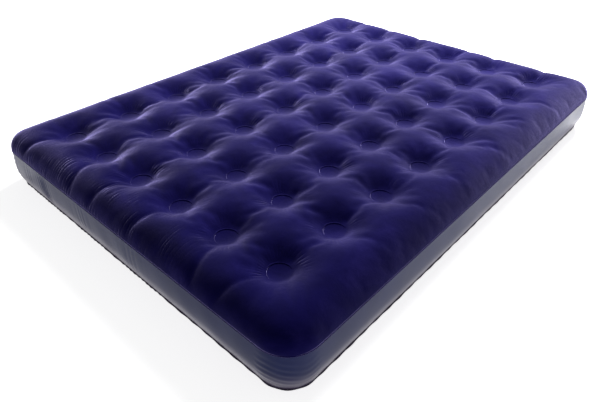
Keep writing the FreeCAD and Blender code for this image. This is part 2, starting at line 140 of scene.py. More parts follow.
# ---------------------------------------------------------------- cloth
def inflate(name, points, rest, faces, pinned, growth, pressure, bending, frames):
    """Blow a film out with Blender's cloth. Pinned points stay, and the rest swells and creases.

    rest is the film before it is blown out, and growth how much longer than that each part is.
    """
    film = make_object(name + "_film", points, faces)
    film.shape_key_add(name="start")
    cut = film.shape_key_add(name="cut")
    cut.data.foreach_set("co", np.asarray(rest, np.float32).ravel())
    group = film.vertex_groups.new(name="pinned")
    group.add([int(k) for k in np.nonzero(pinned)[0]], 1.0, "REPLACE")
    short = film.vertex_groups.new(name="short")
    most = float(np.max(growth))
    for k, share in enumerate(1 - np.asarray(growth) / most):
        short.add([k], float(share), "REPLACE")
    cloth = film.modifiers.new("cloth", "CLOTH")
    settings = cloth.settings
    settings.quality = 6
    settings.mass = 0.01
    settings.air_damping = 1.0
    settings.tension_stiffness = 40
    settings.compression_stiffness = 40
    settings.shear_stiffness = 20
    settings.bending_stiffness = bending
    settings.tension_damping = 5
    settings.compression_damping = 5
    settings.shear_damping = 5
    settings.vertex_group_mass = "pinned"
    settings.use_pressure = True
    settings.uniform_pressure_force = pressure
    settings.rest_shape_key = cut
    settings.vertex_group_shrink = "short"
    settings.shrink_min = -most
    settings.shrink_max = 0.0
    settings.effector_weights.gravity = 0
    cloth.collision_settings.use_collision = False
    cloth.collision_settings.use_self_collision = False
    cloth.point_cache.frame_start = 1
    cloth.point_cache.frame_end = frames
    for step in range(1, frames + 1):
        bpy.context.scene.frame_set(step)
    settled = points_of(film)
    bpy.data.objects.remove(film)
    bpy.context.scene.frame_set(1)
    return settled


# ---------------------------------------------------------------- top sheet
GRID_TOP = 0.0068          # spacing of the sheet's points
ROLL = 0.06                # radius of the rolled edge
TOP_THICKNESS = 0.003      # the film with its pile
MOUTH = 0.078              # how far past its disc each pit reaches
PIT_POWER = 2.5            # how steeply each pit falls towards its disc
DISC_BOWL = 0.005          # how far each weld disc's rim stands above its middle
PIT_IN_CUT = 0.8           # share of each pit that is in the film's own shape
VALLEY = 0.003             # depth of the dips between the last coils and the end seams
VALLEY_PULL = 0.4          # how far those dips also draw in, as a share of their depth
START_RIPPLE = 0.0012      # unevenness that the creases of the blown-up film start from
# how much longer than its outline the film is: in the field, at the sides and at the ends
FIELD_GROWTH = 0.020
SIDE_GROWTH = 0.004
END_GROWTH = 0.006
LEAST_GROWTH = 0.0005
CROWN_Z = TOP_HIGH[2] - 0.010
END_CREASE_DEPTH = 0.0035
END_CREASE_WIDTH = 0.009
# creases out of each weld: (heading, scatter in degrees, reach, depth, width)
CREASE_RAYS = [(90, 8, 0.112, 0.0055, 0.011), (-90, 8, 0.112, 0.0055, 0.011),
               (62, 14, 0.090, 0.0028, 0.007), (118, 14, 0.090, 0.0028, 0.007),
               (-62, 14, 0.090, 0.0028, 0.007), (-118, 14, 0.090, 0.0028, 0.007),
               (0, 30, 0.080, 0.0016, 0.009), (180, 30, 0.080, 0.0016, 0.009)]
TOP_STRAIGHT = CROWN_Z - SEAM_Z - ROLL
SHEET_REACH = TOP_STRAIGHT + ROLL * math.pi / 2 - ROLL


def even(number):
    """The nearest even whole number."""
    return int(round(number / 2)) * 2


def square_to_round(s, t):
    """Bend the unit corner square on to the unit quarter disc."""
    both = (s > 0) & (t > 0)
    return (np.where(both, s * np.sqrt(1 - t * t / 2), s),
            np.where(both, t * np.sqrt(1 - s * s / 2), t))


def rolled_grid(spacing):
    """Points of the top sheet before inflation: flat crown, rolled edge, round corners."""
    half_u = WIDTH / 2 + SHEET_REACH
    half_v = LENGTH / 2 + SHEET_REACH
    count_u = even(2 * half_u / spacing) + 1
    count_v = even(2 * half_v / spacing) + 1
    u, v = np.meshgrid(np.linspace(-half_u, half_u, count_u),
                       np.linspace(-half_v, half_v, count_v), indexing="ij")
    corner = np.where(u * v > 0, TIGHT_CORNER, WIDE_CORNER)
    cut_corner = corner + SHEET_REACH
    core_u = half_u - cut_corner
    core_v = half_v - cut_corner
    s, t = square_to_round(np.clip((np.abs(u) - core_u) / cut_corner, 0, 1),
                           np.clip((np.abs(v) - core_v) / cut_corner, 0, 1))
    flat_u = np.where(s > 0, core_u + s * cut_corner, np.abs(u))
    flat_v = np.where(t > 0, core_v + t * cut_corner, np.abs(v))
    out_u = flat_u - core_u
    out_v = flat_v - core_v
    in_corner = (out_u > 0) & (out_v > 0)
    outward = np.where(in_corner, np.hypot(out_u, out_v), np.maximum(out_u, out_v))
    along_film = cut_corner - outward
    angle = np.clip((along_film - TOP_STRAIGHT) / ROLL, 0, math.pi / 2)
    flat_part = np.maximum(along_film - TOP_STRAIGHT - ROLL * math.pi / 2, 0)
    inset = ROLL * (1 - np.cos(angle)) + flat_part
    z = SEAM_Z + np.minimum(along_film, TOP_STRAIGHT) + ROLL * np.sin(angle)
    plan = corner - inset
    scale = plan / np.maximum(outward, 1e-9)
    x = np.where(in_corner, core_u + out_u * scale,
                 np.where((out_u >= out_v) & (out_u > 0), core_u + plan, flat_u))
    y = np.where(in_corner, core_v + out_v * scale,
                 np.where((out_v > out_u) & (out_v > 0), core_v + plan, flat_v))
    return np.sign(u) * x, np.sign(v) * y, z


def end_offset(x, y):
    """Each point's distance across from the line of its coils, which leans past the last one."""
    column = np.clip(np.round((x - COLUMNS[0]) / PITCH_X), 0, len(COLUMNS) - 1)
    beyond = np.abs(y) - ROWS[-1]
    lean = 0.35 * np.sin(2.3 * column + np.sign(y)) * np.maximum(beyond, 0)
    return x - COLUMNS[0] - column * PITCH_X - lean


def end_valleys(x, y, z):
    """How far the film dips on the lines from the last coils to the foot and head seams."""
    beyond = np.abs(y) - ROWS[-1]
    cross = np.clip(1 - np.abs(end_offset(x, y)) / 0.055, 0, 1) ** 2
    return cross * smooth((beyond - DISC_RADIUS - 0.003) / 0.05) * smooth((z - SEAM_Z) / 0.05)


def pit_depth(to_disc):
    """How far below the crown the film starts, at each distance from the nearest disc."""
    climb = np.clip((to_disc - DISC_RADIUS) / MOUTH, 0, 1)
    pit = (CROWN_Z - DISC_TOP_Z - DISC_BOWL) * (1 - climb) ** PIT_POWER
    return pit + DISC_BOWL * (1 - np.clip(to_disc / DISC_RADIUS, 0, 1) ** 2)


def inwardness(half_size, offset):
    """0 at the mattress's edge and 1 well inside it, along one axis."""
    margin, reach = 0.03, 0.14
    return smooth((half_size - np.abs(offset) - margin) / reach)


def film_growth(x, y, inward_x, inward_y):
    """How much longer than its outline each part of the film is."""
    edge_growth = SIDE_GROWTH + (END_GROWTH - SIDE_GROWTH) * (1 - inward_y) * inward_x
    growth = edge_growth + (FIELD_GROWTH - edge_growth) * inward_x * inward_y
    return growth * (1 + 0.25 * drift(x, y, 3, 0.35)) + LEAST_GROWTH


def held_points(to_disc):
    """The points that stay put: on the weld discs, and along the seam."""
    held = to_disc < DISC_RADIUS + 0.001
    held[0] = held[-1] = True
    held[:, 0] = held[:, -1] = True
    return held


def make_top_sheet():
    """Flocked sheet: blown up over the weld discs, then closed with an inner side."""
    x, y, z = rolled_grid(GRID_TOP)
    valley = end_valleys(x, y, z)
    y = y - np.sign(y) * VALLEY_PULL * VALLEY * valley
    z = z - VALLEY * valley
    to_disc = nearest_disc(x, y)
    pit = pit_depth(to_disc)
    rest = np.stack([x, y, z - PIT_IN_CUT * pit], axis=-1).reshape(-1, 3)
    inward_x = inwardness(WIDTH / 2, x)
    inward_y = inwardness(LENGTH / 2, y)
    growth = film_growth(x, y, inward_x, inward_y)
    z = z - pit
    off_disc = smooth((to_disc - DISC_RADIUS) / 0.03)
    z = z + START_RIPPLE * drift(x, y, 8, 0.05) * off_disc * inward_x * inward_y
    count_u, count_v = x.shape
    pinned = held_points(to_disc)
    start = np.stack([x, y, z], axis=-1).reshape(-1, 3)
    outer = inflate("top", start, rest, grid_faces(count_u, count_v), pinned.ravel(),
                    growth.ravel(), pressure=50.0, bending=0.15, frames=14)
    outer = soften(outer.reshape(count_u, count_v, 3), pinned)
    outer = outer - surface_normals(outer) * crease_depth(outer)[..., None]
    obj = close_sheet("top_sheet_flocked", outer, TOP_THICKNESS)
    mark_pleats(obj)
    return obj, outer


def soften(surface, pinned):
    """Ease the film's sharpest creases, which its flocked thickness rounds off."""
    for axis in (0, 1, 0, 1):
        eased = 0.5 * surface + 0.25 * (np.roll(surface, 1, axis) + np.roll(surface, -1, axis))
        surface = np.where(pinned[..., None], surface, eased)
    return surface


def crease_depth(surface):
    """Depth of the sharp creases that run out from each weld, most of all along the length."""
    x, y, z = np.moveaxis(surface, -1, 0)
    away_x, away_y = from_disc(x, y)
    distance = np.hypot(away_x, away_y)
    column = np.round((x - away_x - COLUMNS[0]) / PITCH_X).astype(int)
    row = np.round((y - away_y - ROWS[0]) / PITCH_Y).astype(int)
    chance = np.random.default_rng(31)
    depth = np.zeros_like(x)
    for heading, scatter, reach, deep, width in CREASE_RAYS:
        shape = (len(COLUMNS), len(ROWS))
        turn = np.radians(heading + scatter * chance.uniform(-1, 1, shape))[column, row]
        reach = (reach * chance.uniform(0.75, 1.15, shape))[column, row]
        deep = (deep * chance.uniform(0.5, 1.3, shape))[column, row]
        along = away_x * np.cos(turn) + away_y * np.sin(turn)
        bend = 0.10 * away_x * np.sin(40 * away_y + column + row)
        across = away_y * np.cos(turn) - away_x * np.sin(turn) + bend
        fade = smooth((reach - distance) / (0.75 * reach)) * (along > 0)
        depth += deep * fade * np.exp(-np.abs(across) / width)
    depth *= smooth((distance - DISC_RADIUS) / 0.012)
    return depth + end_crease(x, y, z)


def end_crease(x, y, z):
    """Depth of the creases that run on from the last welds over the rolled edge."""
    beyond = np.abs(y) - ROWS[-1]
    across = np.abs(end_offset(x, y))
    cross = np.exp(-across / END_CREASE_WIDTH)
    start = smooth((beyond - DISC_RADIUS) / 0.03)
    return END_CREASE_DEPTH * cross * start * smooth((z - SEAM_Z) / 0.06)


def mark_pleats(obj):
    """Tell the flock's material where the fine gathers lie: round each disc, and at the ends."""
    place = points_of(obj)
    x, y = place[:, 0], place[:, 1]
    away_x, away_y = from_disc(x, y)
    offset = obj.data.attributes.new("disc_offset", "FLOAT_VECTOR", "POINT")
    offset.data.foreach_set("vector", np.column_stack([away_x, away_y, 0 * x]).ravel())
    away = np.hypot(away_x, away_y)
    band_start, band_rise = 0.040, 0.012
    fade_start, fade_length = 0.060, 0.044
    band = smooth((away - band_start) / band_rise) * (
        1 - smooth((away - fade_start) / fade_length))
    near = obj.data.attributes.new("disc_gather", "FLOAT", "POINT")
    near.data.foreach_set("value", band)
    beyond = smooth((np.abs(y) - ROWS[-1] - 0.03) / 0.08)
    toward_wide_corner = np.where(y < 0, x, -x)
    gathered = beyond * smooth((0.55 - toward_wide_corner) / 0.5)
    amount = obj.data.attributes.new("end_gather", "FLOAT", "POINT")
    amount.data.foreach_set("value", gathered)


def surface_normals(surface):
    """Unit normals of a grid of points."""
    normal = np.cross(np.gradient(surface, axis=0), np.gradient(surface, axis=1))
    return normal / np.linalg.norm(normal, axis=-1, keepdims=True)


def close_sheet(name, outer, thickness):
    """A closed film: the fine outer side, and an inner side of every second point."""
    count_u, count_v = outer.shape[:2]
    inner = (outer - thickness * surface_normals(outer))[::2, ::2]
    inner[..., 2] = np.maximum(inner[..., 2], SEAM_Z)
    rows, columns = inner.shape[:2]
    offset = count_u * count_v
    faces = [tuple(f) for f in grid_faces(count_u, count_v)]
    faces += [tuple(f) for f in grid_faces(rows, columns, offset, flip=True)]
    out_index = np.arange(offset).reshape(count_u, count_v)
    in_index = np.arange(rows * columns).reshape(rows, columns) + offset
    sides = [(out_index[:, 0], in_index[:, 0]), (out_index[-1, :], in_index[-1, :]),
             (out_index[::-1, -1], in_index[::-1, -1]), (out_index[0, ::-1], in_index[0, ::-1])]
    for out_side, in_side in sides:
        for k in range(len(in_side) - 1):
            first, middle, last = out_side[2 * k:2 * k + 3]
            near, far = in_side[k], in_side[k + 1]
            faces.append((middle, first, near))
            faces.append((last, middle, near, far))
    points = np.concatenate([outer.reshape(-1, 3), inner.reshape(-1, 3)])
    return make_object(name, points, faces)


# ---------------------------------------------------------------- weld rings
def make_weld_rings():
    """The raised ring that the weld leaves round each coil's disc."""
    turns, around = 36, 6
    radius, half_width, height = DISC_RADIUS - 0.0010, 0.0045, 0.0009
    turn = np.arange(turns) * 2 * math.pi / turns
    roll = np.arange(around) * 2 * math.pi / around
    full = 0.12 + 0.88 * smooth(0.5 - 0.75 * np.cos(turn + 0.35))[:, None]
    plan = radius + half_width * np.cos(roll) * (0.3 + 0.7 * full)
    ring = np.stack([plan * np.cos(turn)[:, None], plan * np.sin(turn)[:, None],
                     height * np.sin(roll) * full - 0.0006 * (1 - full)], axis=-1)
    index = np.arange(turns * around).reshape(turns, around)
    ahead, up = np.roll(index, -1, axis=0), np.roll(index, -1, axis=1)
    quads = np.stack([index, ahead, np.roll(ahead, -1, axis=1), up], axis=-1).reshape(-1, 4)
    points = []
    faces = []
    for x, y in COIL_SPOTS:
        faces.append(quads + len(points) * turns * around)
        points.append(ring.reshape(-1, 3) + np.array([x, y, DISC_TOP_Z + 0.92 * DISC_BOWL]))
    return make_object("weld_rings", np.concatenate(points), np.concatenate(faces))


# ---------------------------------------------------------------- side wall
FOOT_INSET = 0.014         # how far the wall curves in at its foot
FOOT_RISE = 0.06           # how high up that curve starts
FOOT_Z = 2 * FILM
FLANGE = 0.003             # width of the weld flange at the foot
BULGE = 0.005              # how far the wall swells at mid height
LAP_LEAN = 0.4             # how far the lap inside the flocked sheet leans in as it rises
WALL_STEP = 0.0085         # spacing of the wall's points along its outline
CREASED_STEP = 0.0032      # the same, where the wall is creased
WALL_LEVELS = 34
WALL_THICKNESS = 0.0011
CORNER_RIPPLE = 0.00040    # depth of the level ripples round each corner
CORNER_RIPPLE_RISE = 0.021
WALL_X = WIDTH / 2 - FILM
WALL_Y = LENGTH / 2 - FILM
CORNERS = [(1, -1, WIDE_CORNER - FILM), (1, 1, TIGHT_CORNER - FILM),
           (-1, 1, WIDE_CORNER - FILM), (-1, -1, TIGHT_CORNER - FILM)]
VALVE_X = 0.5 * (VALVE_LOW[0] + VALVE_HIGH[0])
VALVE_Z = 0.5 * (VALVE_LOW[2] + VALVE_HIGH[2])
VALVE_FLANGE = 0.5 * (VALVE_HIGH[0] - VALVE_LOW[0])
VALVE_BOSS = 0.0258        # radius of the wall's hole, round the valve's boss
# creases in the wall: (x, end of the bed, breadth, spacing, depth)
CREASES = [(-0.70, -1, 0.030, 0.017, 0.0022), (-0.46, -1, 0.038, 0.016, 0.0028),
           (-0.58, -1, 0.030, 0.024, 0.0010), (-0.20, -1, 0.050, 0.027, 0.0010),
           (0.10, -1, 0.060, 0.030, 0.0006), (0.35, 1, 0.040, 0.018, 0.0018),
           (0.10, 1, 0.050, 0.022, 0.0014), (-0.20, 1, 0.040, 0.020, 0.0012)]


def wall_outline(step):
    """Points round the wall's outline, their outward directions, and which corner each is on."""
    spots, ways, corner_of = [], [], []
    for k, (side_x, side_y, radius) in enumerate(CORNERS):
        next_x, next_y, next_radius = CORNERS[(k + 1) % 4]
        centre = np.array([side_x * (WALL_X - radius), side_y * (WALL_Y - radius)])
        first = math.pi / 2 * (k - 1)
        for share in np.linspace(0, 1, max(8, int(radius * math.pi / 2 / step)), endpoint=False):
            angle = first + share * math.pi / 2
            way = np.array([math.cos(angle), math.sin(angle)])
            spots.append(centre + radius * way)
            ways.append(way)
            corner_of.append(k)
        way = np.array([math.cos(first + math.pi / 2), math.sin(first + math.pi / 2)])
        start = centre + radius * way
        end = np.array([next_x * (WALL_X - next_radius), next_y * (WALL_Y - next_radius)])
        end = end + next_radius * way
        for place in straight_steps(start, end, way, step):
            spots.append(place)
            ways.append(way)
            corner_of.append(-1)
    return np.array(spots), np.array(ways), np.array(corner_of)


def straight_steps(start, end, way, step):
    """Places along a straight run of wall, closer together where it is creased."""
    run = end - start
    length = float(np.linalg.norm(run))
    gone = 0.0
    places = []
    while gone < length - 0.3 * step:
        place = start + run * gone / length
        places.append(place)
        creased = any(side_y * way[1] > 0.5 and abs(place[0] - x) < 1.8 * breadth
                      for x, side_y, breadth, spacing, depth in CREASES)
        gone += CREASED_STEP if creased else step
    return places


def wall_swell(spots, ways, corner_of, z):
    """How far the wall stands out from a straight one, at one height."""
    height = np.clip((z - FOOT_Z) / (SEAM_Z - FOOT_Z), 0, 1)
    x, y = spots[:, 0], spots[:, 1]
    arch = math.sin(math.pi * height) if height < 1 else 0.0
    swell = BULGE * arch * (1 + 0.22 * drift(x, y, 21, 0.5) + 0.10 * drift(x, y + z, 22, 0.16))
    for crease_x, side_y, breadth, spacing, depth in CREASES:
        off = x - crease_x + 0.10 * (z - 0.09) * math.sin(90 * crease_x)
        near = np.exp(-(off / breadth) ** 2) * (side_y * ways[:, 1] > 0.5)
        wave = np.abs(np.sin(math.pi * off / spacing + 0.6 * np.sin(70 * off))) - 0.6
        swell = swell + depth * near * wave * arch ** 0.6
    on_corner = np.where(corner_of >= 0, 1.0, 0.0)
    ripple = np.sin(2 * math.pi * z / CORNER_RIPPLE_RISE + 2.6 * drift(x, y, 23, 0.13))
    uneven = 1 + 0.6 * drift(x, y, 24, 0.07)
    swell = swell + CORNER_RIPPLE * on_corner * ripple * arch * uneven
    to_valve = np.where(ways[:, 1] > 0.5, np.hypot(x - VALVE_X, z - VALVE_Z), 1.0)
    return swell * smooth((to_valve - VALVE_FLANGE - 0.004) / 0.06)


def flange_rows(foot, ways):
    """The two rows of the weld flange: a small turn outwards, then its wavy edge."""
    count = len(foot)
    ripple = 0.0007 * np.sin(np.arange(count) * 0.9) + 0.0005 * np.sin(np.arange(count) * 0.23)
    turn = foot + np.column_stack([ways * 0.0006, np.full(count, -0.0006)])
    edge = foot + np.column_stack([ways * (FLANGE + ripple[:, None]), np.full(count, -0.0009)])
    return [turn, edge]


def make_side_wall():
    """Smooth PVC band between the seam and the foot, with its weld flange."""
    spots, ways, corner_of = wall_outline(WALL_STEP)
    count = len(spots)
    rows = []
    for z in np.linspace(WALL_HIGH[2] - 0.001, FOOT_Z, WALL_LEVELS):
        inset = FOOT_INSET * smooth((FOOT_RISE * 1.25 - z) / (FOOT_RISE * 2.0)) * 1.30
        out = wall_swell(spots, ways, corner_of, z) - min(inset, FOOT_INSET)
        out = out - LAP_LEAN * max(z - SEAM_Z, 0.0)
        rows.append(np.column_stack([spots + ways * out[:, None], np.full(count, z)]))
    rows += flange_rows(rows[-1], ways)
    surface = np.array(rows)
    faces = ring_faces(len(surface), count)
    middle = surface.reshape(-1, 3)[faces].mean(axis=1)
    off_valve = (np.hypot(middle[:, 0] - VALVE_X, middle[:, 2] - VALVE_Z) > VALVE_BOSS) | (
        middle[:, 1] < 0)
    obj = make_object("side_wall_film", surface.reshape(-1, 3), faces[off_valve])
    thicken(obj, WALL_THICKNESS)
    return obj


def ring_faces(levels, count):
    """Quads of a band of closed rings, the first ring on top."""
    index = np.arange(levels * count).reshape(levels, count)
    ahead = np.roll(index, -1, axis=1)
    quads = [index[:-1], index[1:], ahead[1:], ahead[:-1]]
    return np.stack(quads, axis=-1).reshape(-1, 4)


def thicken(obj, thickness):
    """Give a film its thickness, inwards."""
    solid = obj.modifiers.new("film", "SOLIDIFY")
    solid.thickness = thickness
    solid.offset = -1
    bpy.context.view_layer.objects.active = obj
    mesh = bpy.data.meshes.new_from_object(
        obj.evaluated_get(bpy.context.evaluated_depsgraph_get()))
    obj.modifiers.clear()
    obj.data = mesh


# ---------------------------------------------------------------- seam welt
def make_seam_welt(top_surface):
    """The raised edge of the weld where the flocked sheet ends, all the way round."""
    loop = np.concatenate([top_surface[:-1, 0], top_surface[-1, :-1],
                           top_surface[:0:-1, -1], top_surface[0, :0:-1]])
    ahead = np.roll(loop, -1, axis=0) - np.roll(loop, 1, axis=0)
    ahead[:, 2] = 0
    ahead /= np.linalg.norm(ahead, axis=1, keepdims=True)
    out = np.column_stack([ahead[:, 1], -ahead[:, 0], np.zeros(len(loop))])
    half_height, half_width, around = 0.0017, 0.0013, 8
    section = []
    for k in range(around):
        angle = 2 * math.pi * k / around
        lift = np.array([0, 0, half_height * math.sin(angle) - 0.0006])
        section.append(loop + out * (half_width * math.cos(angle) - 0.0004) + lift)
    index = np.arange(around * len(loop)).reshape(around, len(loop))
    up = np.roll(index, -1, axis=0)
    quads = [index, np.roll(index, -1, axis=1), np.roll(up, -1, axis=1), up]
    return make_object("seam_welt", np.array(section).reshape(-1, 3),
                       np.stack(quads, axis=-1).reshape(-1, 4))


# ---------------------------------------------------------------- bottom sheet
GRID_BASE = 0.0115         # spacing of the underside's points
BASE_MOUTH = 0.05          # how far past its disc each dimple of the underside reaches
BASE_THICKNESS = 0.0012


def make_bottom_sheet():
    """Underside film, flat on the floor with a shallow dimple at each coil."""
    half_x = WALL_X - FOOT_INSET + FLANGE
    half_y = WALL_Y - FOOT_INSET + FLANGE
    count_u = even(2 * half_x / GRID_BASE) + 1
    count_v = even(2 * half_y / GRID_BASE) + 1
    u, v = np.meshgrid(np.linspace(-half_x, half_x, count_u),
                       np.linspace(-half_y, half_y, count_v), indexing="ij")
    corner = np.where(u * v > 0, TIGHT_CORNER, WIDE_CORNER) - FILM - FOOT_INSET + FLANGE
    core_u, core_v = half_x - corner, half_y - corner
    s, t = square_to_round(np.clip((np.abs(u) - core_u) / corner, 0, 1),
                           np.clip((np.abs(v) - core_v) / corner, 0, 1))
    x = np.sign(u) * np.where(s > 0, core_u + s * corner, np.abs(u))
    y = np.sign(v) * np.where(t > 0, core_v + t * corner, np.abs(v))
    to_disc = nearest_disc(x, y)
    z = DISC_FOOT_Z * (1 - smooth((to_disc - DISC_RADIUS + 0.002) / BASE_MOUTH))
    points = np.stack([x, y, z], axis=-1).reshape(-1, 3)
    obj = make_object("bottom_sheet_film", points, grid_faces(count_u, count_v, flip=True))
    thicken(obj, BASE_THICKNESS)
    return obj


# ---------------------------------------------------------------- materials
def new_material(name):
    """An empty node material with its shader."""
    material = bpy.data.materials.new(name)
    material.use_nodes = True
    tree = material.node_tree
    tree.nodes.clear()
    output = tree.nodes.new("ShaderNodeOutputMaterial")
    shader = tree.nodes.new("ShaderNodeBsdfPrincipled")
    tree.links.new(shader.outputs["BSDF"], output.inputs["Surface"])
    return material, tree, shader


def object_place(tree):
    """The point's place on the object."""
    return tree.nodes.new("ShaderNodeTexCoord").outputs["Object"]


def noise(tree, place, scale, detail=4.0, roughness=0.55, distortion=0.0):
    """A noise texture at that scale."""
    node = tree.nodes.new("ShaderNodeTexNoise")
    node.inputs["Scale"].default_value = scale
    node.inputs["Detail"].default_value = detail
    node.inputs["Roughness"].default_value = roughness
    node.inputs["Distortion"].default_value = distortion
    tree.links.new(place, node.inputs["Vector"])
    return node.outputs["Fac"]


def ramp(tree, value, stops):
    """A colour ramp through (position, colour) stops."""
    node = tree.nodes.new("ShaderNodeValToRGB")
    elements = node.color_ramp.elements
    while len(elements) < len(stops):
        elements.new(0.5)
    for element, (position, colour) in zip(elements, stops):
        element.position = position
        element.color = (*colour, 1.0)
    tree.links.new(value, node.inputs["Fac"])
    return node.outputs["Color"]


def spread(tree, value, low, high):
    """Map noise's middle range to low..high."""
    node = tree.nodes.new("ShaderNodeMapRange")
    node.inputs["From Min"].default_value = 0.3
    node.inputs["From Max"].default_value = 0.7
    node.inputs["To Min"].default_value = low
    node.inputs["To Max"].default_value = high
    tree.links.new(value, node.inputs["Value"])
    return node.outputs["Result"]


def bump(tree, shader, height, strength, distance, under=None):
    """Add a bump layer over the one before."""
    node = tree.nodes.new("ShaderNodeBump")
    node.inputs["Strength"].default_value = strength
    node.inputs["Distance"].default_value = distance
    tree.links.new(height, node.inputs["Height"])
    if under is not None:
        tree.links.new(under, node.inputs["Normal"])
    tree.links.new(node.outputs["Normal"], shader.inputs["Normal"])
    return node.outputs["Normal"]


def maths(tree, operation, first, second=0.0, third=0.0):
    """A Math node, from sockets or numbers."""
    node = tree.nodes.new("ShaderNodeMath")
    node.operation = operation
    for socket, value in zip(node.inputs, (first, second, third)):
        if isinstance(value, (int, float)):
            socket.default_value = value
        else:
            tree.links.new(value, socket)
    return node.outputs[0]


def step_up(tree, value, low, high):
    """A smooth step of a socket's value from low to high."""
    node = tree.nodes.new("ShaderNodeMapRange")
    node.interpolation_type = "SMOOTHSTEP"
    node.inputs["From Min"].default_value = low
    node.inputs["From Max"].default_value = high
    tree.links.new(value, node.inputs["Value"])
    return node.outputs["Result"]


def attribute(tree, name):
    """A mesh attribute's node."""
    node = tree.nodes.new("ShaderNodeAttribute")
    node.attribute_name = name
    return node


GATHERS_PER_TURN = 38.0    # fine gathers round one weld disc
DISC_GATHER_DEPTH = 0.0013
END_GATHER_SPACING = 0.0155
END_GATHER_DEPTH = 0.0011


def furrows(tree, phase, depth):
    """Narrow furrows, that deep, where the phase passes each whole turn."""
    ridge = maths(tree, "ABSOLUTE", maths(tree, "SINE", maths(tree, "MULTIPLY", phase, 0.5)))
    groove = maths(tree, "POWER", maths(tree, "SUBTRACT", 1.0, ridge), 2.0)
    return maths(tree, "MULTIPLY", groove, -depth)


def disc_gathers(tree, place):
    """Fine gathers that run out from each weld disc, in bunches."""
    split = tree.nodes.new("ShaderNodeSeparateXYZ")
    tree.links.new(attribute(tree, "disc_offset").outputs["Vector"], split.inputs["Vector"])
    turn = maths(tree, "ARCTAN2", split.outputs["Y"], split.outputs["X"])
    sway = noise(tree, place, 9.0, 2.0)
    phase = maths(tree, "MULTIPLY_ADD", sway, 8.0,
                  maths(tree, "MULTIPLY", turn, GATHERS_PER_TURN))
    band = attribute(tree, "disc_gather").outputs["Fac"]
    bunch = step_up(tree, noise(tree, place, 14.0, 1.0), 0.44, 0.60)
    lengthways = maths(tree, "POWER", maths(tree, "SINE", turn), 2.0)
    amount = maths(tree, "MULTIPLY", bunch, maths(tree, "MULTIPLY_ADD", lengthways, 0.8, 0.2))
    return maths(tree, "MULTIPLY", furrows(tree, phase, DISC_GATHER_DEPTH),
                 maths(tree, "MULTIPLY", band, amount))


def end_gathers(tree, place):
    """Fine gathers that run down over the rolled edge at the foot and the head."""
    split = tree.nodes.new("ShaderNodeSeparateXYZ")
    tree.links.new(place, split.inputs["Vector"])
    mapping = tree.nodes.new("ShaderNodeMapping")
    mapping.inputs["Scale"].default_value = (1.0, 0.15, 0.15)
    tree.links.new(place, mapping.inputs["Vector"])
    sway = noise(tree, mapping.outputs["Vector"], 22.0, 2.0)
    phase = maths(tree, "MULTIPLY_ADD", sway, 16.0,
                  maths(tree, "MULTIPLY", split.outputs["X"],
                        2 * math.pi / END_GATHER_SPACING))
    bunch = step_up(tree, noise(tree, place, 12.0, 2.0), 0.44, 0.66)
    amount = maths(tree, "MULTIPLY", bunch, attribute(tree, "end_gather").outputs["Fac"])
    return maths(tree, "MULTIPLY", furrows(tree, phase, END_GATHER_DEPTH), amount)


def scuffs(tree, place, turn, scale, low, high):
    """Sparse thin streaks where the pile is scuffed."""
    mapping = tree.nodes.new("ShaderNodeMapping")
    mapping.inputs["Rotation"].default_value = (0, 0, turn)
    mapping.inputs["Scale"].default_value = (scale, 12 * scale, scale)
    tree.links.new(place, mapping.inputs["Vector"])
    return step_up(tree, noise(tree, mapping.outputs["Vector"], 1.0, 3.0, 0.6, 0.8), low, high)


def blend_colours(tree, amount, under, over):
    """A colour laid over another by that amount."""
    node = tree.nodes.new("ShaderNodeMix")
    node.data_type = "RGBA"
    tree.links.new(amount, node.inputs["Factor"])
    tree.links.new(under, node.inputs[6])
    node.inputs[7].default_value = (*over, 1.0)
    return node.outputs[2]


def flock_material():
    """Deep blue velvet flock, brushed in patches, scuffed, and gathered at the welds."""
    material, tree, shader = new_material("flock")
    place = object_place(tree)
    colour = ramp(tree, noise(tree, place, 7.0, 5.0, 0.6, 0.6), [
        (0.30, (0.0022, 0.0017, 0.033)),
        (0.55, (0.0035, 0.0026, 0.048)),
        (0.72, (0.0080, 0.0060, 0.070))])
    streaks = maths(tree, "ADD", scuffs(tree, place, 0.5, 9.0, 0.66, 0.80),
                    scuffs(tree, place, 2.1, 7.0, 0.68, 0.82))
    worn = maths(tree, "MULTIPLY", streaks,
                 step_up(tree, noise(tree, place, 2.2, 2.0), 0.45, 0.62))
    colour = blend_colours(tree, maths(tree, "MULTIPLY", worn, 0.04), colour,
                           (0.055, 0.045, 0.14))
    tree.links.new(colour, shader.inputs["Base Color"])
    shader.inputs["Roughness"].default_value = 0.85
    shader.inputs["Specular IOR Level"].default_value = 0.0
    shader.inputs["Sheen Weight"].default_value = 1.0
    shader.inputs["Sheen Roughness"].default_value = 0.33
    shader.inputs["Sheen Tint"].default_value = (0.54, 0.48, 1.0, 1.0)
    gathers = maths(tree, "ADD", disc_gathers(tree, place), end_gathers(tree, place))
    gathered = bump(tree, shader, gathers, 1.0, 1.0)
    rubbed = bump(tree, shader, noise(tree, place, 60.0, 3.0), 0.35, 0.002, gathered)
    bump(tree, shader, noise(tree, place, 900.0, 2.0), 0.5, 0.0006, rubbed)
    return material


